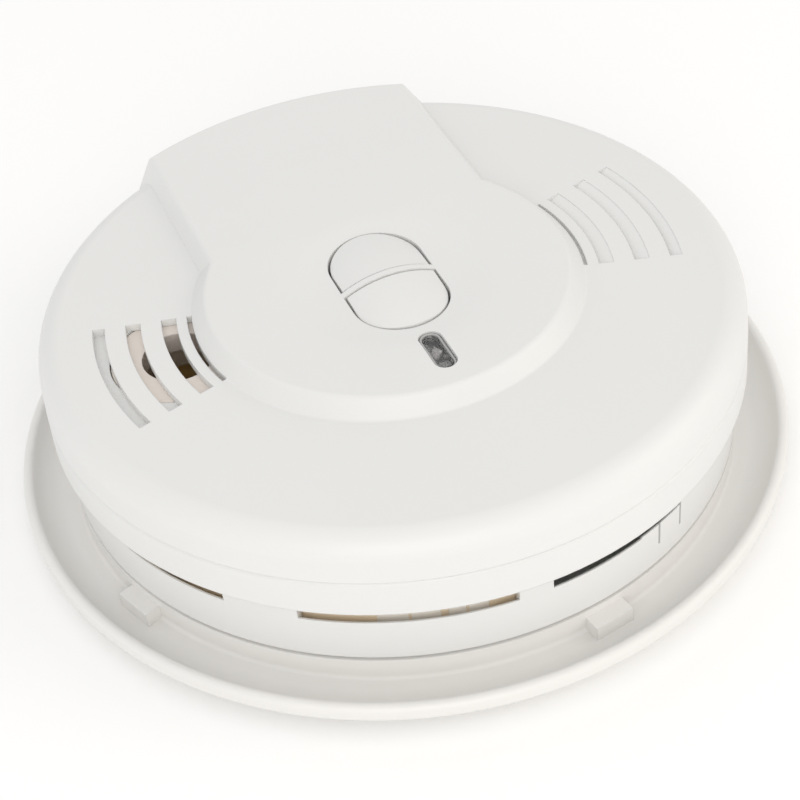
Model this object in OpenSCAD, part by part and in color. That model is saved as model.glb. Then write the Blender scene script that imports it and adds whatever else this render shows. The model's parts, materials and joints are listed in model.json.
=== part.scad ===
// Ceiling smoke alarm: a round alarm body, twist-locked into a dish-shaped mounting ring.
// Frame: origin at the centre of the ring's back face, +Z away from the ceiling,
// +Y towards the raised tongue of the cover, -X towards the open horn slots. Millimetres.

/* [Mounting ring] */
// Outer radius of the mounting ring
ring_r = 73; // [72:0.5:76]
// Height of the ring's upturned rim above the ceiling
rim_h = 6; // [5.5:0.25:7]
// Radius of the ring's central opening for the house wiring
wiring_r = 32; // [31:0.5:33]
// Spacing of the screw slots that fit a single switch box
box_pitch = 83.3; // [82:0.1:85]
// Spacing of the screw slots that fit a 4 inch octagon box
octagon_pitch = 88.9; // [88:0.1:90]

/* [Alarm body] */
// Outer radius of the base wall
wall_r = 63; // [62.8:0.1:63.2]
// Height of the smoke vents between the base wall and the cover
vent_h = 4; // [3:0.25:4.5]
// Outer radius of the cover at its lower edge
cover_r = 64.8; // [64.6:0.1:66]
// Height of the cover's flat top above the ceiling
top_z = 35.5; // [35:0.25:37]
// Height of the round boss and the tongue above the flat top
boss_rise = 3; // [2.5:0.25:3.5]
// Radius of the boss at its foot
boss_r = 35.5; // [35:0.25:36]
// Half width of the tongue at its top
tongue_half = 27.2; // [26:0.2:28]

/* [Keys and window] */
// Width of the key opening
key_w = 17.8; // [17:0.2:18.6]
// Length of the key opening
key_l = 29.6; // [29:0.2:30.4]
// Travel of each key
key_travel = 0.6; // [0.4:0.1:0.6]
// Width of the indicator window
window_w = 4.2; // [4:0.1:4.6]
// Length of the indicator window
window_l = 10.8; // [10:0.2:11.6]

/* [Sound slots] */
// Width of each sound slot
slot_w = 2.7; // [2:0.1:3]
// Half angle that each slot spans
slot_half_angle = 15.8; // [14:0.2:16]

/* [Hidden] */
$fn = 96;

// Vertical stack
plate_t = 2;
hub_top = 6.4;
floor_z = 6.8;
floor_t = 1.8;
wall_top = 15.8;
cover_z = wall_top + vent_h;
board_z = 12;
board_t = 1.6;
deck = board_z + board_t;
boss_z = top_z + boss_rise;
skin = 1.8;

// Radii
hub_r = wall_r;
hub_in = wall_r - 1.8;
board_r = 57.5;
dish_r = 170;
dish_depth = 1.3;

// Twist lock
lock_angles = [45, 135, 225, 315];
ledge_span = 14;
lug_span = 12;
lug_r = hub_in - 0.3;
ledge_in = 59.2;
lug_foot = 3;

// Keys
key_c = -0.8;
key_gap = 0.45;
rib_w = 1.4;
rib_gap = 0.3;
rib_rise = 0.2;
crown_x = 19.5;
crown_y = 80;
crown_top = boss_z + 0.9;
collar_z = 33.4;
flange_t = 1;
switch_h = 3.5;
plunger_h = 2.5;
plunger_r = 1.7;
test_y = 6.5;
hush_y = -8.5;
window_c = -23.4;
light_pitch = 4.6;

// Inner parts
horn_x = -39.8;
horn_y = 1.4;
horn_r = 12.1;
hole_r = 6.5;
disc_z = 24;
groove_z = top_z - 1.5;
chamber_x = 37;
chamber_r = 15;
inlet_y = 20;
inlet_w = 24;
inlet_l = 12;
cell_r = 8.5;
cell_l = 45;
cell_y = 41.5;
cell_z = deck + 1.4 + cell_r;
screw_spot = 34;

// Rows of sound slots: centre radius and width of each, outermost first
slot_rows = [[52.7, slot_w - 0.5], [46.45, slot_w], [39.98, slot_w], [36.25, 0.9]];
// Middle of the open slots on the left and of the blind grooves on the right
open_mid = 180.7;
blind_mid = -1.4;
// Half angle of the blind grooves, a little longer than the open slots
blind_half_angle = slot_half_angle + 1;
// Length of the low blocks that stand on the ring against its hub
block_w = 7.8;
// Smoke vents round the base: start angle and end angle of each
vents = [[-166, -139.8], [-127.4, -93.8], [-88.2, -71.6], [20, 48], [56, 84], [96, 126], [136, 160]];
latch_angles = [-64.8, 52, 172];
// Openings in the beige carrier inside the vents: start angle and end angle of each
carrier_gaps = [[-180, -171], [-92, -40], [25, 44], [60, 80], [100, 122], [140, 155]];
// White vanes let into the carrier at the front: start angle and end angle of each
vanes = [[-115.6, -110.7], [-110.3, -105.7], [-104.5, -101.7], [-101.3, -98.1]];
// Outer radius of the carrier and of its vanes
carrier_r = hub_in - 0.25;
latch_foot = 11.3;
tab_top = 24.6;

// ---------- shared shapes ----------

// A block bent round the Z axis, from angle a to angle b
module sector(r_in, r_out, z, h, a, b)
    rotate([0, 0, a]) rotate_extrude(angle = b - a)
        translate([r_in, z]) square([r_out - r_in, h]);

module tube(r_out, r_in, h) difference() {
    cylinder(r = r_out, h = h);
    translate([0, 0, -1]) cylinder(r = r_in, h = h + 2);
}

// A flat shape with straight sides and round ends, long along Y
module stadium(w, l) union() {
    square([w, l - w], center = true);
    translate([0, (l - w) / 2]) circle(d = w);
    translate([0, -(l - w) / 2]) circle(d = w);
}

// Points along an arc about c, from angle a to angle b
function arc(c, r, a, b, n = 16) =
    [for (i = [0:n]) c + r * [cos(a + (b - a) * i / n), sin(a + (b - a) * i / n)]];

module box_at(x, y, z, size) translate([x - size[0] / 2, y - size[1] / 2, z]) cube(size);

// The solid under the crown that both keys and the bridge share, more curved across than along
module under_crown(drop = 0)
    translate([0, key_c, crown_top - crown_y - drop]) rotate([0, 90, 0]) rotate_extrude($fn = 180)
        polygon(concat(
            [[0, -crown_x * sin(32)]],
            arc([crown_y - crown_x, 0], crown_x, -32, 32, 24),
            [[0, crown_x * sin(32)]]
        ));

// ---------- mounting ring ----------

// A thin flat plate that sweeps up into a rounded rim, with a low hub that the alarm turns on
module ring_profile() polygon(concat(
    [[wiring_r, 0], [wiring_r, plate_t], [hub_in, plate_t], [hub_in, hub_top], [hub_r, hub_top]],
    arc([hub_r + 0.8, plate_t + 0.7], 0.8, 180, 270, 6),
    arc([ring_r - 7.4, plate_t + 5.6], 5.7, 270, 330),
    arc([ring_r - 1.1, rim_h - 1.1], 1.1, 150, 0, 12),
    arc([ring_r - 1.4, 3.7], 1.4, 0, -50, 8),
    [[ring_r - 3.7, 0]]
));

module screw_slot(len) linear_extrude(height = 8, center = true) rotate(90) stadium(4.6, len);

module mounting_ring() color("whitesmoke") difference() {
    union() {
        rotate_extrude($fn = 180) ring_profile();
        for (a = lock_angles) {
            sector(ledge_in, hub_in + 0.3, 4.9, hub_top - 4.9, a - ledge_span / 2, a + ledge_span / 2);
            sector(ledge_in, hub_in + 0.3, plate_t - 0.3, hub_top - plate_t + 0.3,
                a - ledge_span / 2 - 2, a - ledge_span / 2);
        }
        for (b = [[-158.5, 0.3], [-79.3, 0.4], [21.5, 0], [104, 0]])
            rotate([0, 0, b[0]]) translate([hub_r - 0.4, -block_w / 2, plate_t - 0.6])
                cube([3 + b[1], block_w, 3.4]);
        for (a = [0:30:330])
            sector(wiring_r + 0.01, wiring_r + 2, plate_t - 0.3, 1, a - 11, a + 11);
    }
    for (s = [-1, 1]) {
        translate([s * box_pitch / 2, 0, 0]) screw_slot(8);
        translate([0, s * octagon_pitch / 2, 0]) rotate([0, 0, 90]) screw_slot(8);
        rotate([0, 0, 45]) translate([s * 47, 0, 0]) cylinder(r = 2.3, h = 10, center = true);
    }
}

// ---------- alarm base ----------

// An opening in the wall from height z up, whose sill slopes down towards the inside
module vent_cut(z, a, b) {
    sector(hub_in - 1, wall_r + 1, z, 14, a, b);
    rotate([0, 0, a]) rotate_extrude(angle = b - a) polygon([
        [hub_in - 1, z - 2.6], [hub_in, z - 2.6], [wall_r - 0.35, z - 0.1],
        [wall_r - 0.35, z + 1], [hub_in - 1, z + 1]
    ]);
}

// Cuts that leave each latch as a springy tongue, with a narrow gap above it and to one side
module latch_cuts() for (a = latch_angles) {
    for (s = [-2.7, 2.7]) sector(hub_in - 1, wall_r + 1, latch_foot, 20, a + s - 0.2, a + s + 0.2);
    vent_cut(wall_top + 0.3, a - 6.9, a + 2.7);
}

module base_housing() color("whitesmoke") difference() {
    // Floor, wall, and the tab above the wall that runs up inside the cover
    rotate_extrude($fn = 180) polygon([
        [0, floor_z], [wall_r - 0.4, floor_z], [wall_r, floor_z + 0.4], [wall_r, cover_z - 0.3],
        [wall_r - 0.5, cover_z - 0.3], [wall_r - 0.5, tab_top], [hub_in, tab_top],
        [hub_in, floor_z + floor_t], [0, floor_z + floor_t]
    ]);
    for (v = vents) vent_cut(wall_top, v[0], v[1]);
    latch_cuts();
    box_at(0, inlet_y, 0, [inlet_w + 0.6, inlet_l + 0.6, 20]);
}

// Hooks under the floor that turn in below the ring's ledges
module twist_lugs() color("whitesmoke") for (a = lock_angles) union() {
    sector(57.2, 58.8, lug_foot, floor_z - lug_foot, a - lug_span / 2, a + lug_span / 2);
    sector(58.5, lug_r, lug_foot, 1.5, a - lug_span / 2, a + lug_span / 2);
}

// Inner wall behind the vents, with gaps that let smoke through
module inner_carrier() color("tan") difference() {
    translate([0, 0, floor_z + floor_t]) tube(carrier_r, carrier_r - 0.9, 10.6, $fn = 180);
    for (g = concat(carrier_gaps, vanes)) sector(58, 62, board_z, 12, g[0], g[1]);
    for (a = latch_angles) sector(58, 62, 4, 20, a - 4, a + 4);
}

// White vanes that fill four of the inner wall's openings
module smoke_vanes() color("whitesmoke") for (v = vanes)
    sector(carrier_r - 0.9, carrier_r, board_z, floor_z + floor_t + 10.6 - board_z, v[0], v[1]);

// Posts that carry the circuit board, with pilot holes for its screws
module board_posts() color("whitesmoke") for (x = [-1, 1], y = [-1, 1])
    translate([x * screw_spot, y * screw_spot, floor_z + floor_t]) difference() {
        cylinder(r = 3.4, h = board_z - floor_z - floor_t);
        translate([0, 0, -1]) cylinder(r = 1.3, h = 12);
    }

// ---------- front cover ----------

shoulder_r = 4.6;
outer_top_r = 59.8;

// The cover's outline, with d millimetres taken off it for the inner surface
module cover_profile(d, z_low) polygon(concat(
    [[0, z_low], [cover_r - d, z_low]],
    d > 0 ? [] : [[cover_r - 0.15, 26.4], [cover_r - 0.45, 26.75], [cover_r - 0.17, 27.1]],
    arc([outer_top_r, top_z - shoulder_r], shoulder_r - d, 0, 90),
    [[0, top_z - d]]
));

module boss_profile(d) polygon(concat(
    [[0, top_z - 3 - d], [boss_r + 0.6 - d, top_z - 3 - d], [boss_r + 0.6 - d, top_z - 0.35 - d]],
    arc([boss_r + 0.75 - d, top_z + 0.75 - d], 0.75, 268, 228, 6),
    arc([boss_r - 2.9 - d, boss_z - 1.2 - d], 1.2, 48, 90, 8),
    [[0, boss_z - d]]
));

// The tongue's cross-section: a flat top and sloped sides with eased edges
module tongue_profile(d) {
    top = boss_z - d;
    half = tongue_half - d;
    polygon(concat(
        [[-half - 5.2, top - 7.5], [half + 5.2, top - 7.5]],
        [[half + 1.75, top - 2.5]],
        arc([half - 0.6, top - 1.2], 1.2, 32, 90, 8),
        arc([-half + 0.6, top - 1.2], 1.2, 90, 148, 8),
        [[-half - 1.75, top - 2.5]]
    ));
}

module tongue(d) intersection() {
    rotate([90, 0, 180]) linear_extrude(height = cover_r + 2) tongue_profile(d);
    translate([0, 0, 20]) rotate_extrude($fn = 180) polygon(concat(
        [[0, 0], [cover_r - 0.25 - d, 0]],
        arc([cover_r - 1.3 - d, boss_z - 20 - 1 - d], 1, 0, 90, 8),
        [[0, boss_z - 20 - d]]
    ));
}

module key_bridge(w) translate([-key_w / 2 - 1, key_c - w / 2, 0]) cube([key_w + 2, w, 60]);

// The outermost slot stops at the horn seat below it
module open_slots() for (row = slot_rows)
    sector(row[0] - row[1] / 2, row[0] + row[1] / 2, 30, 12,
        open_mid - slot_half_angle, open_mid + slot_half_angle);

// Grooves with hollowed floors, deepest along their inner side and nearly flush along their outer side
module blind_grooves() for (i = [0:3]) {
    low = slot_rows[i][0] - slot_rows[i][1] / 2;
    w = i < 3 ? slot_rows[i][1] : 0.7;
    rotate([0, 0, blind_mid - blind_half_angle]) rotate_extrude(angle = 2 * blind_half_angle) polygon([
        [low, top_z - 1], [low + 0.3 * w, top_z - (i < 3 ? 0.62 : 1)],
        [low + 0.62 * w, top_z - (i < 3 ? 0.32 : 1)], [low + w, top_z - (i < 3 ? 0.07 : 1)],
        [low + w, top_z + 4], [low, top_z + 4]
    ]);
}

// Plate under the open slots, with a round pocket that the top of the horn fits into
module horn_seat() difference() {
    sector(slot_rows[2][0] - 2.6, outer_top_r - 2, groove_z - 1.4, 1.4, open_mid - 22, open_mid + 22);
    translate([horn_x, horn_y, 20]) cylinder(r = horn_r + 0.15, h = 20, $fn = 120);
}

module front_cover() color("white") union() {
    difference() {
        union() {
            rotate_extrude($fn = 180) cover_profile(0, cover_z);
            rotate_extrude($fn = 180) boss_profile(0);
            tongue(0);
        }
        rotate_extrude($fn = 180) cover_profile(skin, cover_z - 1);
        rotate_extrude($fn = 180) boss_profile(skin);
        tongue(skin);
        translate([0, key_c, boss_z + dish_r - dish_depth]) sphere(r = dish_r, $fn = 180);
        translate([0, key_c, 30]) linear_extrude(height = 20) stadium(key_w, key_l);
        translate([0, window_c, 30]) linear_extrude(height = 20) stadium(window_w, window_l);
        open_slots();
        blind_grooves();
        translate([horn_x, horn_y, groove_z - 5]) cylinder(r = horn_r + 0.15, h = 5.05, $fn = 120);
    }
    horn_seat();
    // Guide wall round the keys, and the bridge between them
    translate([0, key_c, collar_z]) linear_extrude(height = 3.4) difference() {
        stadium(key_w + 2.4, key_l + 2.4);
        stadium(key_w, key_l);
    }
    intersection() {
        translate([0, key_c, collar_z]) linear_extrude(height = 8) stadium(key_w + 0.6, key_l);
        key_bridge(rib_w);
        under_crown(-rib_rise);
    }
    // Guide wall round the indicator window
    translate([0, window_c, collar_z]) linear_extrude(height = 3.4) difference() {
        stadium(window_w + 2, window_l + 2);
        stadium(window_w, window_l);
    }
}

// ---------- keys, switches and lights ----------

// One key: side is 1 for the test key and -1 for the hush key
module key(side, stem_y) {
    edge = key_c + side * (rib_w / 2 + rib_gap);
    intersection() {
        union() {
            translate([0, key_c, collar_z - 0.2]) linear_extrude(height = 8)
                stadium(key_w - 2 * key_gap, key_l - 2 * key_gap);
            translate([0, key_c, collar_z - 0.3 - flange_t]) linear_extrude(height = flange_t)
                stadium(key_w + 1.4, key_l + 1.4);
            translate([0, key_c, collar_z - 0.4]) linear_extrude(height = 0.3)
                stadium(key_w - 2 * key_gap, key_l - 2 * key_gap);
        }
        translate([-20, side > 0 ? edge : edge - 30, 20]) cube([40, 30, 30]);
        under_crown();
    }
    translate([0, stem_y, deck + switch_h + plunger_h + 0.05])
        cylinder(r = 1.9, h = collar_z - 0.8 - deck - switch_h - plunger_h);
    for (a = [0:90:270]) translate([0, stem_y, collar_z - 6.3]) rotate([0, 0, a])
        translate([1.2, -0.5, 0]) cube([2.2, 1, 5.3]);
}

module test_key() color("white") key(1, test_y);
module hush_key() color("white") key(-1, hush_y);

module switch_body(y) color("dimgray") difference() {
    box_at(0, y, deck, [6, 6, switch_h]);
    translate([0, y, deck + 1.4]) cylinder(r = plunger_r + 0.3, h = 4);
    translate([0, y, deck + 0.6]) cylinder(r = 2.5, h = 1.6);
}
module test_switch() switch_body(test_y);
module hush_switch() switch_body(hush_y);

module plunger(y) color("black") translate([0, y, deck + 2.2])
    cylinder(r = plunger_r, h = switch_h + plunger_h - 2.2);
module test_plunger() plunger(test_y);
module hush_plunger() plunger(hush_y);

// The thin metal dome that clicks and pushes the plunger back
module dome(y) color("silver") translate([0, y, deck + 0.65]) rotate_extrude() polygon(concat(
    [for (i = [0:6]) [i * 2.3 / 6, 1.3 * (1 - pow(i / 6, 2))]],
    [for (i = [6:-1:0]) [i * 2.3 / 6, 1.3 * (1 - pow(i / 6, 2)) + 0.15]]
));
module test_dome() dome(test_y);
module hush_dome() dome(hush_y);

module led(y) translate([0, y, deck]) {
    cylinder(r = 1.9, h = 1.2);
    cylinder(r = 1.5, h = 3.8);
    translate([0, 0, 3.8]) sphere(r = 1.5);
}
module power_light() color("green") led(window_c + light_pitch / 2);
module alarm_light() color("red") led(window_c - light_pitch / 2);

module light_pipe() color("gray", 0.6) union() {
    intersection() {
        translate([0, window_c, collar_z - 1.2]) linear_extrude(height = 8)
            stadium(window_w - 0.3, window_l - 0.3);
        translate([0, window_c, boss_z - 0.55 - 14]) rotate([90, 0, 0])
            cylinder(r = 14, h = 40, center = true, $fn = 120);
    }
    translate([0, window_c, collar_z - 1.4]) linear_extrude(height = 1.2)
        stadium(window_w + 1.8, window_l + 1.8);
    for (s = [-1, 1]) translate([0, window_c + s * light_pitch / 2, deck + 5.6])
        cylinder(r = 1.6, h = collar_z - 1 - deck - 5.6);
}

// ---------- circuit board ----------

module circuit_board() color("darkgreen") translate([0, 0, board_z]) difference() {
    cylinder(r = board_r, h = board_t, $fn = 180);
    box_at(0, inlet_y, -1, [inlet_w + 0.6, inlet_l + 0.6, 5]);
    for (x = [-1, 1], y = [-1, 1])
        translate([x * screw_spot, y * screw_spot, -1]) cylinder(r = 1.6, h = 5);
    for (a = latch_angles) rotate([0, 0, a]) box_at(board_r, 0, -1, [5, 10, 5]);
}

module board_screws() color("silver") for (x = [-1, 1], y = [-1, 1])
    translate([x * screw_spot, y * screw_spot, deck]) difference() {
        union() {
            cylinder(r = 2.8, h = 1.9);
            translate([0, 0, -5]) cylinder(r = 1.28, h = 5.5);
        }
        box_at(0, 0, 1, [3.4, 0.7, 2]);
        box_at(0, 0, 1, [0.7, 3.4, 2]);
    }

// ---------- horn ----------

module horn_housing() color("wheat") translate([horn_x, horn_y, 0]) difference() {
    union() {
        difference() {
            rotate_extrude($fn = 120) polygon(concat(
                [[0, disc_z], [horn_r, disc_z]],
                arc([horn_r - 0.5, groove_z - 0.5], 0.5, 0, 90, 6),
                [[0, groove_z]]
            ));
            translate([0, 0, disc_z - 1])
                cylinder(r = horn_r - 1.5, h = groove_z - disc_z - 0.4, $fn = 120);
        }
        translate([0, 0, groove_z - 4]) cylinder(r = hole_r + 1.1, h = 3.5);
    }
    translate([0, 0, disc_z]) cylinder(r = hole_r, h = 20);
}

module horn_base() color("wheat") translate([horn_x, horn_y, deck]) difference() {
    cylinder(r = horn_r, h = disc_z - deck, $fn = 120);
    translate([0, 0, -1]) cylinder(r = horn_r - 3, h = 20);
    translate([0, 0, disc_z - deck - 1.2]) cylinder(r = horn_r - 1.2, h = 2);
    for (a = [60, 180, 300]) rotate([0, 0, a]) box_at(horn_r, 0, -1, [8, 5, 4]);
}

module piezo_disc() color("goldenrod") translate([horn_x, horn_y, disc_z - 1.2])
    cylinder(r = horn_r - 1.4, h = 0.3, $fn = 120);
module piezo_ceramic() color("ivory") translate([horn_x, horn_y, disc_z - 1.5])
    cylinder(r = 8, h = 0.3, $fn = 120);

module horn_contacts() color("silver") for (i = [-1:1]) translate([horn_x + i * 5.6, horn_y, deck]) {
    box_at(0, 0, 0, [1.6, 3, 0.5]);
    box_at(0, 0, 0.4, [1.2, 0.5, disc_z - 1.6 - deck - 0.5]);
}

// ---------- sensing chamber ----------

module chamber_base() color("white") translate([chamber_x, 0, deck]) union() {
    difference() {
        union() {
            cylinder(r = chamber_r + 0.5, h = 1.2, $fn = 120);
            cylinder(r = chamber_r - 0.8, h = 2.6, $fn = 120);
        }
        translate([0, 0, 1.4]) cylinder(r = chamber_r - 2.2, h = 3);
    }
    for (a = [0:120:240]) rotate([0, 0, a]) translate([8.5, 0, 1]) cylinder(r = 1.2, h = 6);
}

module chamber_can() color("silver") translate([chamber_x, 0, deck + 1.3]) difference() {
    rotate_extrude($fn = 120) polygon(concat(
        [[chamber_r - 0.5, 0], [chamber_r, 0]],
        arc([chamber_r - 2, 13.6], 2, 0, 90, 4),
        [[0, 15.6], [0, 15.1], [chamber_r - 2, 15.1]],
        arc([chamber_r - 2, 13.6], 1.5, 90, 0, 4)
    ));
    for (a = [0:45:315]) rotate([0, 0, a]) box_at(chamber_r, 0, 5, [4, 6, 6]);
    for (a = [0:60:300]) rotate([0, 0, a]) translate([8, 0, 10]) cylinder(r = 1.6, h = 8);
}

module collector_plate() color("silver") translate([chamber_x, 0, deck + 7]) difference() {
    cylinder(r = 10.4, h = 0.4);
    translate([0, 0, -1]) cylinder(r = 3, h = 3);
}

module source_holder() color("gold") translate([chamber_x, 0, deck + 1.4]) difference() {
    cylinder(r = 3.4, h = 2.4);
    translate([0, 0, 1.6]) cylinder(r = 2.4, h = 2);
}
module source_foil() color("silver") translate([chamber_x, 0, deck + 3]) cylinder(r = 2.3, h = 0.2);

// ---------- power ----------

module backup_battery() color("royalblue") translate([-cell_l / 2, cell_y, cell_z]) rotate([0, 90, 0])
    union() {
        cylinder(r = cell_r, h = cell_l - 1.2);
        cylinder(r = 2.8, h = cell_l);
    }

module battery_cradle() color("white") difference() {
    box_at(0, cell_y, deck, [30, 2 * cell_r, 8]);
    translate([-25, cell_y, cell_z]) rotate([0, 90, 0]) cylinder(r = cell_r + 0.1, h = 50);
    box_at(0, cell_y, deck + 1, [18, 20, 20]);
}

module battery_tabs() color("silver") for (s = [-1, 1]) {
    box_at(s * (cell_l / 2 + 0.25), cell_y, deck, [0.4, 4, cell_z + 2 - deck]);
    box_at(s * (cell_l / 2 - 1.05), cell_y, deck, [3, 4, 0.4]);
}

module inlet_shell() color("white") difference() {
    box_at(0, inlet_y, 4.6, [inlet_w, inlet_l, 12.4]);
    box_at(0, inlet_y, 4, [inlet_w - 2.4, inlet_l - 2.4, 11]);
    for (i = [-1:1]) box_at(i * 6, inlet_y, 10, [1.2, 1.2, 10]);
    box_at(0, inlet_y + inlet_l / 2, 4, [5, 3, 5]);
}

module inlet_pins() color("gold") for (i = [-1:1]) {
    box_at(i * 6, inlet_y, 9.4, [1, 1, 9.6]);
    box_at(i * 6, inlet_y - 3.8, 18, [1, 8.6, 1]);
    box_at(i * 6, inlet_y - 7.6, deck, [1, 1, 19 - deck]);
}

// ---------- components on the board ----------

module film_capacitor() color("saddlebrown") box_at(-6.5, -49.4, deck, [13, 6, 11]);

module ceramic_power_resistor() color("whitesmoke") rotate([0, 0, -121])
    box_at(51, 0, deck, [6, 18, 6]);

module smoothing_capacitor() color("midnightblue") translate([17, -42, deck]) union() {
    cylinder(r = 5, h = 13);
    translate([0, 0, 1]) cylinder(r = 5.2, h = 1);
}

module small_electrolytics() color("navy")
    for (p = [[30, -24], [37, -22.5], [-23, 22], [23, 25]]) translate([p[0], p[1], deck])
        cylinder(r = 2.5, h = 7);

module surge_varistor() color("steelblue") translate([27.5, 36, deck + 6.5]) rotate([90, 0, 90])
    cylinder(r = 5, h = 4, center = true);

module coil_core() color("dimgray") translate([-21, -30, deck]) {
    cylinder(r = 5.5, h = 1.2);
    cylinder(r = 2.4, h = 9);
    translate([0, 0, 8]) cylinder(r = 5.5, h = 1.2);
}
module horn_coil() color("chocolate") translate([-21, -30, deck + 1.3]) tube(4.8, 2.5, 6.6);

resistor_spots = [[10, -33], [10, -30], [24, -33], [-8, -40], [-8, -37], [-8, -34], [-19, 10], [16, 12]];
module axial_leads(x, y, half, lift) {
    for (s = [-1, 1]) translate([x + s * half, y, deck]) cylinder(r = 0.3, h = lift + 0.3);
    for (s = [-1, 1]) translate([x + s * (half + 3.2) / 2 - (half - 3.1) / 2, y, deck + lift])
        rotate([0, 90, 0]) cylinder(r = 0.3, h = half - 3.1);
}
module resistors() color("tan") for (p = resistor_spots) translate([p[0] - 3.1, p[1], deck + 1.5])
    rotate([0, 90, 0]) cylinder(r = 1.1, h = 6.2);
module resistor_leads() color("silver") for (p = resistor_spots) axial_leads(p[0], p[1], 4.4, 1.5);

diode_spots = [[27, -38], [27, -41], [-34, -26], [-34, -29]];
module diodes() color("black") for (p = diode_spots) translate([p[0] - 3.1, p[1], deck + 1.5])
    rotate([0, 90, 0]) union() {
        cylinder(r = 1.3, h = 6.2);
        translate([0, 0, 4.6]) cylinder(r = 1.34, h = 0.8);
    }
module diode_leads() color("silver") for (p = diode_spots) axial_leads(p[0], p[1], 4.4, 1.5);

module chip(x, y, len) difference() {
    box_at(x, y, deck + 0.6, [6.4, len, 3]);
    translate([x, y + len / 2, deck + 3.2]) cylinder(r = 1, h = 2);
}
module detector_chip() color("black") chip(13.5, -7, 19);
module control_chip() color("black") chip(-14.5, -7, 17);
module chip_legs() color("silver") for (c = [[13.5, 8], [-14.5, 7]], i = [0:c[1] - 1], s = [-1, 1]) {
    y = -7 + (i - (c[1] - 1) / 2) * 2.3;
    box_at(c[0] + s * 3.55, y, deck, [0.5, 0.6, 2.2]);
}

module transistors() color("black") for (p = [[30, 22], [23, -26]]) translate([p[0], p[1], deck + 1])
    difference() {
        cylinder(r = 2.3, h = 4.6);
        box_at(0, -3, -1, [8, 3, 8]);
    }

module disc_capacitors() color("orange")
    for (p = [[-34, 21], [-30, 25], [44, -21], [6, -40]]) translate([p[0], p[1], deck + 3.2])
        rotate([90, 0, 20]) cylinder(r = 2.6, h = 1.8, center = true);

// ---------- label ----------

module rating_label() color("silver") translate([0, -30, floor_z - 0.15]) linear_extrude(height = 0.15)
    square([46, 26], center = true);

// ---------- output ----------

mounting_ring();
base_housing();
front_cover();
circuit_board();
board_screws();
twist_lugs();
board_posts();
inner_carrier();
smoke_vanes();
horn_housing();
horn_base();
piezo_disc();
piezo_ceramic();
horn_contacts();
chamber_base();
chamber_can();
collector_plate();
source_holder();
source_foil();
backup_battery();
battery_cradle();
battery_tabs();
inlet_shell();
inlet_pins();
film_capacitor();
ceramic_power_resistor();
smoothing_capacitor();
small_electrolytics();
surge_varistor();
horn_coil();
coil_core();
resistors();
resistor_leads();
diodes();
diode_leads();
detector_chip();
control_chip();
chip_legs();
transistors();
disc_capacitors();
test_switch();
hush_switch();
test_plunger();
hush_plunger();
test_dome();
hush_dome();
test_key();
hush_key();
power_light();
alarm_light();
light_pipe();
rating_label();
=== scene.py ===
"""Looks of the smoke alarm and its mounting ring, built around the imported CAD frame."""

import json
import math

import bpy
from mathutils import Matrix, Vector


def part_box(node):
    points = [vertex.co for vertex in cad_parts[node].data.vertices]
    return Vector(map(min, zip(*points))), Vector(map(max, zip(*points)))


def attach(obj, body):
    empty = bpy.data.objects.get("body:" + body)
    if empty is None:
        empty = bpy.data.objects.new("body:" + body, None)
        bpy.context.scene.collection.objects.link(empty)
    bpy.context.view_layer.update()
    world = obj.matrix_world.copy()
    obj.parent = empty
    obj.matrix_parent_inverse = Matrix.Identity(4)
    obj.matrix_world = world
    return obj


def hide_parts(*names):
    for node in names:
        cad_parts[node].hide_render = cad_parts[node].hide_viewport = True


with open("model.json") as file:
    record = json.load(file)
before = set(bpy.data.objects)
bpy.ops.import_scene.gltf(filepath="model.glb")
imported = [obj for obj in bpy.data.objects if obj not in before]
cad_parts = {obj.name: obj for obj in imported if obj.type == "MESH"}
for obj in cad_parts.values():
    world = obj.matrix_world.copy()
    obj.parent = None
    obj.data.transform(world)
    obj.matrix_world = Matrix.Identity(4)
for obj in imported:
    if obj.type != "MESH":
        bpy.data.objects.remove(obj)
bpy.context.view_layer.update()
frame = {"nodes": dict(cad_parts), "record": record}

MM = 0.001
NODES = frame["nodes"]


# ---------- camera, floor and light ----------

CAMERA_AZIMUTH = math.radians(-18.3)
CAMERA_ELEVATION = math.radians(41.6)
CAMERA_ROLL = math.radians(-6.4)
CAMERA_DISTANCE = 347.8 * MM
CAMERA_AIM = Vector((0.7, 2.25, 5.9)) * MM
LENS_MM = 81
SENSOR_MM = 36
NEAR_CLIP = 0.01
FLOOR_SIZE = 6
FLOOR_DROP = 0.4 * MM
FLOOR_COLOUR = (0.96, 0.96, 0.96, 1)
WORLD_COLOUR = (1, 1, 1, 1)
WORLD_STRENGTH = 0.85
LIGHT_AIM = (0, 0, 0.02)


def make_camera():
    """The reference view: from above, in front and a little to the left, slightly rolled."""
    flat = math.cos(CAMERA_ELEVATION)
    back = Vector((
        math.sin(CAMERA_AZIMUTH) * flat,
        -math.cos(CAMERA_AZIMUTH) * flat,
        math.sin(CAMERA_ELEVATION),
    ))
    right = Vector((math.cos(CAMERA_AZIMUTH), math.sin(CAMERA_AZIMUTH), 0))
    up = back.cross(right)
    turned_right = right * math.cos(CAMERA_ROLL) + up * math.sin(CAMERA_ROLL)
    turned_up = back.cross(turned_right)
    data = bpy.data.cameras.new("camera")
    data.lens = LENS_MM
    data.sensor_width = SENSOR_MM
    data.clip_start = NEAR_CLIP
    camera = bpy.data.objects.new("camera", data)
    place = Matrix((turned_right, turned_up, back)).transposed().to_4x4()
    place.translation = CAMERA_AIM + back * CAMERA_DISTANCE
    camera.matrix_world = place
    bpy.context.scene.collection.objects.link(camera)
    bpy.context.scene.camera = camera


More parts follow.
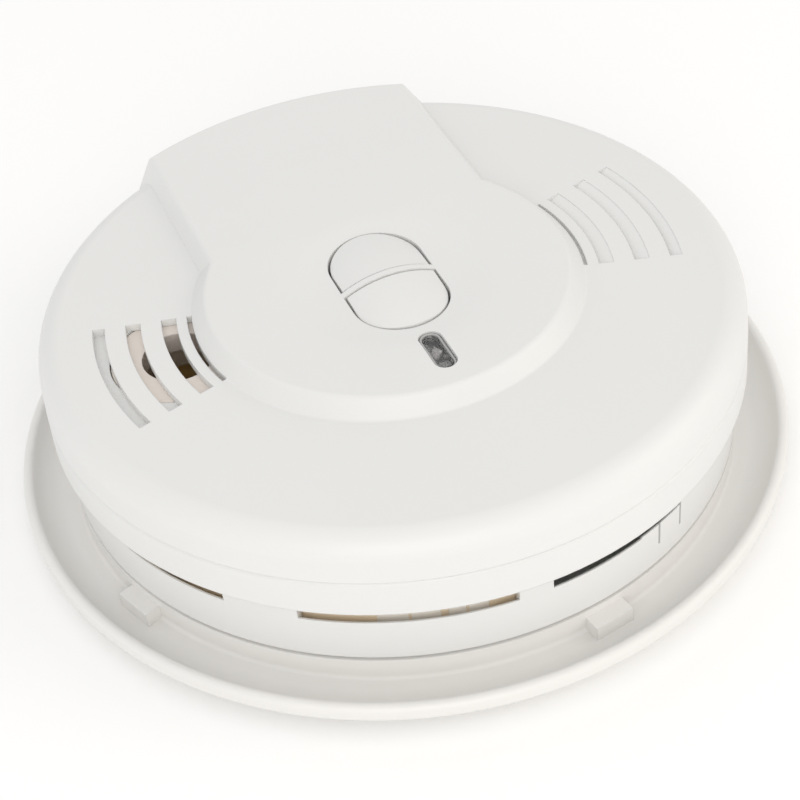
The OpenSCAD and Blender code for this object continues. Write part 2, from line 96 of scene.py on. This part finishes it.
def area_light(name, place, size, power, tint=(1, 1, 1)):
    """A square soft light at place, facing the middle of the alarm."""
    data = bpy.data.lights.new(name, "AREA")
    data.shape = "SQUARE"
    data.size = size
    data.energy = power
    data.color = tint
    light = bpy.data.objects.new(name, data)
    light.location = place
    light.rotation_euler = (Vector(LIGHT_AIM) - Vector(place)).to_track_quat("-Z", "Y").to_euler()
    bpy.context.scene.collection.objects.link(light)


def make_stage():
    """A plain pale floor, with soft light from the front, the right, above and all round."""
    bpy.ops.mesh.primitive_plane_add(size=FLOOR_SIZE, location=(0, 0, -FLOOR_DROP))
    floor = bpy.context.object
    floor.name = "floor"
    material = bpy.data.materials.new("floor")
    material.use_nodes = True
    shader = material.node_tree.nodes["Principled BSDF"]
    shader.inputs["Base Color"].default_value = FLOOR_COLOUR
    shader.inputs["Roughness"].default_value = 0.9
    shader.inputs["Specular IOR Level"].default_value = 0.1
    floor.data.materials.append(material)

    scene = bpy.context.scene
    scene.view_settings.view_transform = "Standard"
    world = bpy.data.worlds.new("studio")
    world.use_nodes = True
    background = world.node_tree.nodes["Background"]
    background.inputs["Color"].default_value = WORLD_COLOUR
    background.inputs["Strength"].default_value = WORLD_STRENGTH
    scene.world = world
    area_light("front_softbox", (-0.35, -0.95, 0.55), 0.9, 4.2, (1.0, 0.965, 0.91))
    area_light("right_softbox", (0.95, -0.45, 0.50), 0.7, 2.1, (1.0, 0.90, 0.76))
    area_light("top_softbox", (-0.2, 0.5, 1.2), 1.0, 0.8)


# ---------- materials ----------

PLASTIC_IOR = 1.49
MOULD_EDGE = 0.25 * MM


class Look:
    """A node tree being built around one Principled shader."""

    def __init__(self, name):
        self.material = bpy.data.materials.new(name)
        self.material.use_nodes = True
        self.nodes = self.material.node_tree.nodes
        self.links = self.material.node_tree.links
        self.shader = self.nodes["Principled BSDF"]
        self.coords = self.add("ShaderNodeTexCoord").outputs["Object"]

    def add(self, kind, **values):
        """A new node: names of sockets set their values, other names set its properties."""
        node = self.nodes.new(kind)
        for name, value in values.items():
            socket = node.inputs.get(name.replace("_", " "))
            if socket is not None:
                socket.default_value = value
            else:
                setattr(node, name, value)
        return node

    def link(self, out, to):
        self.links.new(out, to)

    def feed(self, out, name):
        """Links a socket to the shader's input of that name."""
        self.link(out, self.shader.inputs[name])

    def set(self, **values):
        """Sets fixed values on the shader."""
        for name, value in values.items():
            self.shader.inputs[name.replace("_", " ")].default_value = value

    def noise(self, scale, detail=3, roughness=0.5):
        """Noise in object space, from 0 to 1."""
        node = self.add("ShaderNodeTexNoise", Scale=scale, Detail=detail, Roughness=roughness)
        self.link(self.coords, node.inputs["Vector"])
        return node.outputs["Fac"]

    def ramp(self, fac, stops):
        """A colour ramp: stops is a list of (place, colour)."""
        node = self.add("ShaderNodeValToRGB")
        self.link(fac, node.inputs["Fac"])
        elements = node.color_ramp.elements
        while len(elements) < len(stops):
            elements.new(0.5)
        for element, (place, colour) in zip(elements, stops):
            element.position = place
            element.color = (*colour, 1)
        return node.outputs["Color"]

    def span(self, fac, low, high):
        """fac from 0 to 1 becomes low to high."""
        node = self.add("ShaderNodeMapRange", To_Min=low, To_Max=high)
        self.link(fac, node.inputs["Value"])
        return node.outputs["Result"]

    def mix(self, fac, a, b):
        """Colour a where fac is 0, and b where it is 1. Each is a colour or a socket."""
        node = self.add("ShaderNodeMix", data_type="RGBA")
        self.link(fac, node.inputs["Factor"])
        sockets = [s for s in node.inputs if s.type == "RGBA"]
        for socket, value in zip(sockets, (a, b)):
            if isinstance(value, tuple):
                socket.default_value = (*value, 1)
            else:
                self.link(value, socket)
        return [s for s in node.outputs if s.type == "RGBA"][0]

    def bump(self, height, strength, distance, normal=None):
        """Height becomes relief on the shader, over the given normal."""
        node = self.add("ShaderNodeBump", Strength=strength, Distance=distance)
        self.link(height, node.inputs["Height"])
        if normal is not None:
            self.link(normal, node.inputs["Normal"])
        self.link(node.outputs["Normal"], self.shader.inputs["Normal"])

    def soft_edges(self, radius):
        """The tiny radius that a mould leaves on every edge."""
        return self.add("ShaderNodeBevel", samples=4, Radius=radius).outputs["Normal"]


def moulded(name, colour, roughness, grain, vary, edge=MOULD_EDGE):
    """Moulded plastic: a spark-eroded grain, faint flow shades, and softened edges."""
    look = Look(name)
    darker = tuple(c * (1 - vary) for c in colour)
    lighter = tuple(min(1, c * (1 + vary)) for c in colour)
    look.feed(look.ramp(look.noise(22, 4, 0.55), [(0.3, darker), (0.7, lighter)]), "Base Color")
    look.feed(look.span(look.noise(340, 2), roughness - 0.06, roughness + 0.06), "Roughness")
    look.bump(look.noise(2600, 2, 0.6), grain, 0.05 * MM, look.soft_edges(edge))
    look.set(IOR=PLASTIC_IOR)
    return look.material


def metal(name, colour, roughness):
    """Stamped metal: fine directional marks and a patchy sheen."""
    look = Look(name)
    stretch = look.add("ShaderNodeMapping")
    stretch.inputs["Scale"].default_value = (60, 900, 900)
    look.link(look.coords, stretch.inputs["Vector"])
    marks = look.add("ShaderNodeTexNoise", Scale=4, Detail=3)
    look.link(stretch.outputs["Vector"], marks.inputs["Vector"])
    patches = look.noise(90, 3)
    dull = tuple(c * 0.82 for c in colour)
    look.feed(look.ramp(patches, [(0.35, dull), (0.65, colour)]), "Base Color")
    look.feed(look.span(marks.outputs["Fac"], roughness - 0.08, roughness + 0.12), "Roughness")
    look.bump(marks.outputs["Fac"], 0.06, 0.02 * MM, look.soft_edges(0.06 * MM))
    look.set(Metallic=1.0)
    return look.material


def clear(name, colour, roughness, transmission=1.0):
    """Clear moulded plastic with faint swirls."""
    look = Look(name)
    pale = tuple(min(1, c * 1.15) for c in colour)
    look.feed(look.ramp(look.noise(160, 3), [(0.3, colour), (0.7, pale)]), "Base Color")
    look.feed(look.span(look.noise(500, 2), roughness * 0.6, roughness * 1.4), "Roughness")
    look.bump(look.noise(420, 2), 0.12, 0.05 * MM, look.soft_edges(0.15 * MM))
    look.set(Transmission_Weight=transmission, IOR=PLASTIC_IOR)
    return look.material


def board_look():
    """Green solder resist over a pattern of raised copper tracks."""
    look = Look("board_green")
    cells = look.add(
        "ShaderNodeTexVoronoi", feature="DISTANCE_TO_EDGE", distance="CHEBYCHEV", Scale=240)
    look.link(look.coords, cells.inputs["Vector"])
    tracks = look.ramp(cells.outputs["Distance"], [(0.05, (1, 1, 1)), (0.09, (0, 0, 0))])
    look.feed(look.mix(tracks, (0.012, 0.075, 0.035), (0.03, 0.17, 0.07)), "Base Color")
    look.feed(look.span(look.noise(300, 2), 0.25, 0.4), "Roughness")
    look.bump(tracks, 0.4, 0.04 * MM, look.soft_edges(0.05 * MM))
    look.set(Coat_Weight=0.3, Coat_Roughness=0.2)
    return look.material


def banded_resistor():
    """Tan lacquered resistor bodies with colour bands across them."""
    look = Look("resistor_tan")
    wave = look.add(
        "ShaderNodeTexWave", wave_type="BANDS", bands_direction="X", Scale=210, Distortion=0)
    look.link(look.coords, wave.inputs["Vector"])
    bands = look.ramp(wave.outputs["Fac"], [(0.80, (0, 0, 0)), (0.84, (1, 1, 1))])
    brown, black, red = (0.35, 0.10, 0.04), (0.03, 0.03, 0.03), (0.5, 0.12, 0.03)
    hue = look.ramp(look.noise(130, 0), [(0.35, brown), (0.5, black), (0.65, red)])
    look.feed(look.mix(bands, (0.66, 0.46, 0.24), hue), "Base Color")
    look.feed(look.span(look.noise(400), 0.2, 0.35), "Roughness")
    look.bump(look.noise(900), 0.1, 0.03 * MM)
    return look.material


def wound_copper():
    """Enamelled copper wire, turn beside turn, darkened in the creases between turns as painted
    shade.
    """
    look = Look("copper_wire")
    wave = look.add(
        "ShaderNodeTexWave", wave_type="BANDS", bands_direction="Z", wave_profile="SIN", Scale=820)
    look.link(look.coords, wave.inputs["Vector"])
    # The dark end of the bands falls in the troughs between turns: painted shade in the creases
    look.feed(look.mix(wave.outputs["Fac"], (0.20, 0.06, 0.02), (0.62, 0.26, 0.09)), "Base Color")
    look.bump(wave.outputs["Fac"], 0.8, 0.12 * MM)
    look.feed(look.span(look.noise(200), 0.25, 0.4), "Roughness")
    look.set(Metallic=0.6, Coat_Weight=0.4)
    return look.material


WHITE = (0.735, 0.735, 0.725)
# Nodes whose colour differs from the rest of their slot: lighter copies of their colour, painted
# light that stands in for light reaching them in shade
OWN_LOOKS = {
    "inner_carrier": "carrier_painted_light_and_shade",
    "smoke_vanes": "vane_white_painted_light",
    "mounting_ring": "ring_white_painted_light",
}
SMOOTH_ANGLE = math.radians(24)
WELD_DISTANCE = 0.0005 * MM


def finished_materials():
    """Each material slot's finish, the looks in OWN_LOOKS with their painted light, and those of
    the indicator window.
    """
    return {
        "white_housing": moulded("white_housing", WHITE, 0.40, 0.10, 0.008),
        # A lighter, warmer copy of the housing white: painted light that offsets the shade in the
        # ring's dish
        "ring_white_painted_light": moulded("ring_white_painted_light", (0.765, 0.755, 0.735), 0.40, 0.10, 0.008),
        "clear_lens": clear("clear_lens", (0.80, 0.80, 0.80), 0.03),
        "tray": moulded("tray", (0.07, 0.07, 0.065), 0.2, 0.05, 0.1),
        # The fan's near-white is painted reflection, standing in for light caught in the light
        # pipe's clear ribs; where two wedges wear the rim's grey, it is painted reflection of
        # facets
        "fan": moulded("fan", (0.90, 0.87, 0.86), 0.2, 0.03, 0.1, 0.04 * MM),
        "rim": moulded("rim", (0.42, 0.42, 0.415), 0.15, 0.03, 0.05, 0.04 * MM),
        "board_green": board_look(),
        "beige_horn": moulded("beige_horn", (0.76, 0.695, 0.64), 0.5, 0.15, 0.05),
        # Tan painted light: lighter than a part in this shade would be, standing in for light
        # through the translucent housing, and its warm hue is painted shade on the white inside
        "carrier_painted_light_and_shade": moulded("carrier_painted_light_and_shade", (0.90, 0.76, 0.58), 0.5, 0.15, 0.06),
        # A warmed, lighter copy of the white: painted light that stands in for light reaching the
        # vanes in shade
        "vane_white_painted_light": moulded("vane_white_painted_light", (0.95, 0.90, 0.83), 0.45, 0.1, 0.02),
        "brass": metal("brass", (0.78, 0.58, 0.26), 0.3),
        "ceramic_white": moulded("ceramic_white", (0.80, 0.77, 0.70), 0.7, 0.3, 0.04),
        "bright_metal": metal("bright_metal", (0.70, 0.70, 0.71), 0.28),
        "inner_white": moulded("inner_white", (0.76, 0.74, 0.70), 0.5, 0.12, 0.02),
        "cell_sleeve": moulded("cell_sleeve", (0.04, 0.10, 0.34), 0.22, 0.04, 0.06),
        "film_brown": moulded("film_brown", (0.20, 0.085, 0.03), 0.3, 0.08, 0.1),
        "can_sleeve": moulded("can_sleeve", (0.02, 0.03, 0.09), 0.25, 0.04, 0.06),
        "varistor_blue": moulded("varistor_blue", (0.05, 0.16, 0.42), 0.35, 0.2, 0.08),
        "copper_wire": wound_copper(),
        "ferrite": moulded("ferrite", (0.03, 0.03, 0.032), 0.6, 0.3, 0.1),
        "resistor_tan": banded_resistor(),
        "black_moulding": moulded(
            "black_moulding", (0.018, 0.018, 0.02), 0.45, 0.2, 0.1, 0.08 * MM),
        "capacitor_orange": moulded("capacitor_orange", (0.60, 0.22, 0.03), 0.4, 0.15, 0.08),
        "green_led": clear("green_led", (0.08, 0.55, 0.14), 0.12, 0.8),
        "red_led": clear("red_led", (0.62, 0.03, 0.03), 0.12, 0.8),
        "blank_label": moulded("blank_label", (0.62, 0.63, 0.65), 0.35, 0.05, 0.03, 0.05 * MM),
    }


def smooth_shading_group(angle):
    """A modifier's node tree: faces shade smoothly, apart from edges sharper than angle."""
    group = bpy.data.node_groups.new("smooth_shading", "GeometryNodeTree")
    group.interface.new_socket("Geometry", in_out="INPUT", socket_type="NodeSocketGeometry")
    group.interface.new_socket("Geometry", in_out="OUTPUT", socket_type="NodeSocketGeometry")
    nodes, links = group.nodes, group.links
    entry = nodes.new("NodeGroupInput")
    leave = nodes.new("NodeGroupOutput")
    faces = nodes.new("GeometryNodeSetShadeSmooth")
    edges = nodes.new("GeometryNodeSetShadeSmooth")
    edges.domain = "EDGE"
    bend = nodes.new("GeometryNodeInputMeshEdgeAngle")
    compare = nodes.new("FunctionNodeCompare")
    compare.operation = "LESS_THAN"
    compare.inputs["B"].default_value = angle
    links.new(entry.outputs[0], faces.inputs["Geometry"])
    links.new(faces.outputs[0], edges.inputs["Geometry"])
    links.new(bend.outputs["Unsigned Angle"], compare.inputs["A"])
    links.new(compare.outputs[0], edges.inputs["Shade Smooth"])
    links.new(edges.outputs[0], leave.inputs[0])
    return group


def finish_cad_nodes():
    """Gives every CAD node its finish, and shades its curved faces smoothly."""
    looks = finished_materials()
    group = smooth_shading_group(SMOOTH_ANGLE)
    for part in frame["record"]["subparts"]:
        node = NODES[part["node"]]
        for place in node.material_slots:
            place.material = looks[OWN_LOOKS.get(part["node"], part["material_slot"])]
        weld = node.modifiers.new("weld", "WELD")
        weld.merge_threshold = WELD_DISTANCE
        node.modifiers.new("smooth", "NODES").node_group = group
        even = node.modifiers.new("even", "WEIGHTED_NORMAL")
        even.keep_sharp = True
        even.weight = 50
    return looks


# ---------- the indicator window ----------

WINDOW_WIDTH = 3.9 * MM
WINDOW_LENGTH = 10.5 * MM
RIM_WIDTH = 0.45 * MM
LIP_RADIUS = 0.20 * MM
LENS_HEIGHT = 1.4 * MM
LENS_GAP = 0.2 * MM  # between the rim and the lens
LENS_SINK = 0.16 * MM  # of the lens's face below the rim's top
TRAY_GAP = 0.35 * MM  # between the lens and the tray
TRAY_DEPTH = 2.2 * MM
WELL_DEPTH = 0.5 * MM
FOOT_DEPTH = 0.49 * MM  # of the ribs' and wedges' feet below the tray's top
FAN_RIBS = 11
FAN_START = 116  # degrees round from +X
FAN_SPREAD = 100  # degrees
FAN_APEX = (1.05 * MM, 0.55 * MM, 0.30 * MM)  # from the window's centre and the tray's top
FAN_REACH = (1.9 * MM, 2.1 * MM)  # across and along the window
FAN_RIDGE = 0.20 * MM  # of every other rib's tip above the tray's top
FAN_VALLEY = 0.46 * MM  # of the tips between them below it
# The wedges' pale and grey colours are painted reflection of the light pipe's facets; their
# sloping shapes are the pipe's own
# Each wedge: its look, then in mm its place across and along the window, its half width and
# half length, the height of its near edge above the tray's top, and its fall to the far edge
WEDGES = (
    ("fan", 1.12, -0.45, 0.26, 0.34, 0.35, 0.45),
    ("rim", 0.30, -2.45, 0.95, 0.85, 0.10, 0.35),
    ("rim", -0.75, 3.10, 0.16, 0.95, 0.05, 0.20),
)


def stadium_ring(centre, width, length, z, steps=12):
    """Points round a flat shape with straight sides and round ends, long along Y."""
    points = []
    for end in (1, -1):
        middle = centre[1] + end * (length - width) / 2
        for step in range(steps + 1):
            turn = math.pi * step / steps + (0 if end > 0 else math.pi)
            points.append((
                centre[0] + width / 2 * math.cos(turn),
                middle + width / 2 * math.sin(turn),
                z,
            ))
    return points


def loft(name, rings, look, body, hollow=False):
    """A closed mesh through rings of equal length: solid, or hollow with its ends joined."""
    count = len(rings[0])
    points = [point for ring in rings for point in ring]
    faces = []
    for level in range(len(rings) - (0 if hollow else 1)):
        above = (level + 1) % len(rings)
        for here in range(count):
            there = (here + 1) % count
            low, high = level * count, above * count
            faces.append((low + here, low + there, high + there, high + here))
    if not hollow:
        faces.append(tuple(reversed(range(count))))
        faces.append(tuple(range((len(rings) - 1) * count, len(rings) * count)))
    return new_piece(name, points, faces, look, body)


def rounded_lip(top, radius, outer, inner, foot):
    """A profile of (inset, height): up the outside, over two rounded corners, down the inside."""
    profile = [(outer, foot)]
    for corner, first in ((outer + radius, 180), (inner - radius, 90)):
        for step in range(5):
            turn = math.radians(first - 90 * step / 4)
            height = top - radius + radius * math.sin(turn)
            profile.append((corner + radius * math.cos(turn), height))
    profile.append((inner, foot))
    return profile


def new_piece(name, points, faces, look, body):
    """A piece of its own that rides on a CAD body and belongs to a material slot."""
    mesh = bpy.data.meshes.new(name)
    mesh.from_pydata(points, [], faces)
    mesh.update()
    mesh.materials.append(look)
    piece = bpy.data.objects.new(name, mesh)
    bpy.context.scene.collection.objects.link(piece)
    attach(piece, body)
    return piece


def make_window(looks):
    """The clear window over the two lights: a rim, a lens, and ribs and wedges in a dark tray; the
    ribs' and wedges' light colours are painted reflection.
    """
    low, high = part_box("light_pipe")
    centre = ((low[0] + high[0]) / 2, (low[1] + high[1]) / 2)
    lens_foot = high[2] - LENS_HEIGHT
    tray_top = lens_foot - TRAY_GAP

    def window_loft(name, profile, look, hollow=False):
        """A loft through a profile of (inset, height) from the window's outline."""
        rings = [
            stadium_ring(centre, WINDOW_WIDTH - 2 * inset, WINDOW_LENGTH - 2 * inset, z)
            for inset, z in profile
        ]
        return loft(name, rings, looks[look], "alarm", hollow)

    lip = rounded_lip(high[2], LIP_RADIUS, 0, RIM_WIDTH, lens_foot)
    rim = window_loft("window_rim", lip, "rim", hollow=True)
    gap = RIM_WIDTH + LENS_GAP
    face = high[2] - LENS_SINK
    crown = [
        (gap, lens_foot), (gap, face - 0.12 * MM),
        (gap + 0.05 * MM, face - 0.03 * MM), (gap + 0.15 * MM, face),
    ]
    lens = window_loft("window_lens", crown, "clear_lens")
    for piece in (rim, lens):
        piece.modifiers.new("smooth", "NODES").node_group = bpy.data.node_groups["smooth_shading"]
        piece.modifiers.new("even", "WEIGHTED_NORMAL").keep_sharp = True

    well = [
        (0, tray_top - TRAY_DEPTH), (0, tray_top),
        (RIM_WIDTH, tray_top), (RIM_WIDTH + 0.1 * MM, tray_top - WELL_DEPTH),
    ]
    tray = window_loft("window_tray", well, "tray")
    fan = window_fan(centre, tray_top, looks["fan"])
    wedges = [
        window_wedge("window_wedge_%d" % (index + 1), centre, tray_top, looks[look], sizes)
        for index, (look, *sizes) in enumerate(WEDGES)
    ]
    for piece in (rim, lens, tray, fan, *wedges):
        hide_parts("light_pipe")


def window_fan(centre, tray_top, look):
    """Ribs that spread from a raised point at the right of the tray, as one closed mesh."""
    apex = (centre[0] + FAN_APEX[0], centre[1] + FAN_APEX[1], tray_top + FAN_APEX[2])
    top = [apex]
    for rib in range(FAN_RIBS):
        turn = math.radians(FAN_START + FAN_SPREAD * rib / (FAN_RIBS - 1))
        x = apex[0] + FAN_REACH[0] * math.cos(turn)
        y = apex[1] + FAN_REACH[1] * math.sin(turn)
        top.append((x, y, tray_top - FAN_VALLEY if rib % 2 else tray_top + FAN_RIDGE))
    base = len(top)
    points = top + [(x, y, tray_top - FOOT_DEPTH) for x, y, _ in top]
    faces = [(0, rib, rib + 1) for rib in range(1, FAN_RIBS)]
    for rib in range(1, FAN_RIBS):
        faces.append((base, base + rib + 1, base + rib))
        faces.append((rib, base + rib, base + rib + 1, rib + 1))
    faces.append((0, base, base + 1, 1))
    faces.append((0, FAN_RIBS, base + FAN_RIBS, base))
    return new_piece("window_fan", points, faces, look, "alarm")


def window_wedge(name, centre, tray_top, look, sizes):
    """A block with a sloping top. Its sizes are explained at WEDGES."""
    across, along, half_w, half_l, rise, slope = (size * MM for size in sizes)
    x, y = centre[0] + across, centre[1] + along
    top = tray_top + rise
    lid = [
        (x - half_w, y - half_l, top), (x + half_w, y - half_l, top),
        (x + half_w, y + half_l, top - slope), (x - half_w, y + half_l, top - slope),
    ]
    foot = [(x, y, tray_top - FOOT_DEPTH) for x, y, _ in lid]
    sides = [(0, 3, 2, 1), (4, 5, 6, 7), (0, 1, 5, 4), (1, 2, 6, 5), (2, 3, 7, 6), (3, 0, 4, 7)]
    return new_piece(name, foot + lid, sides, look, "alarm")


make_camera()
make_stage()
looks = finish_cad_nodes()
make_window(looks)
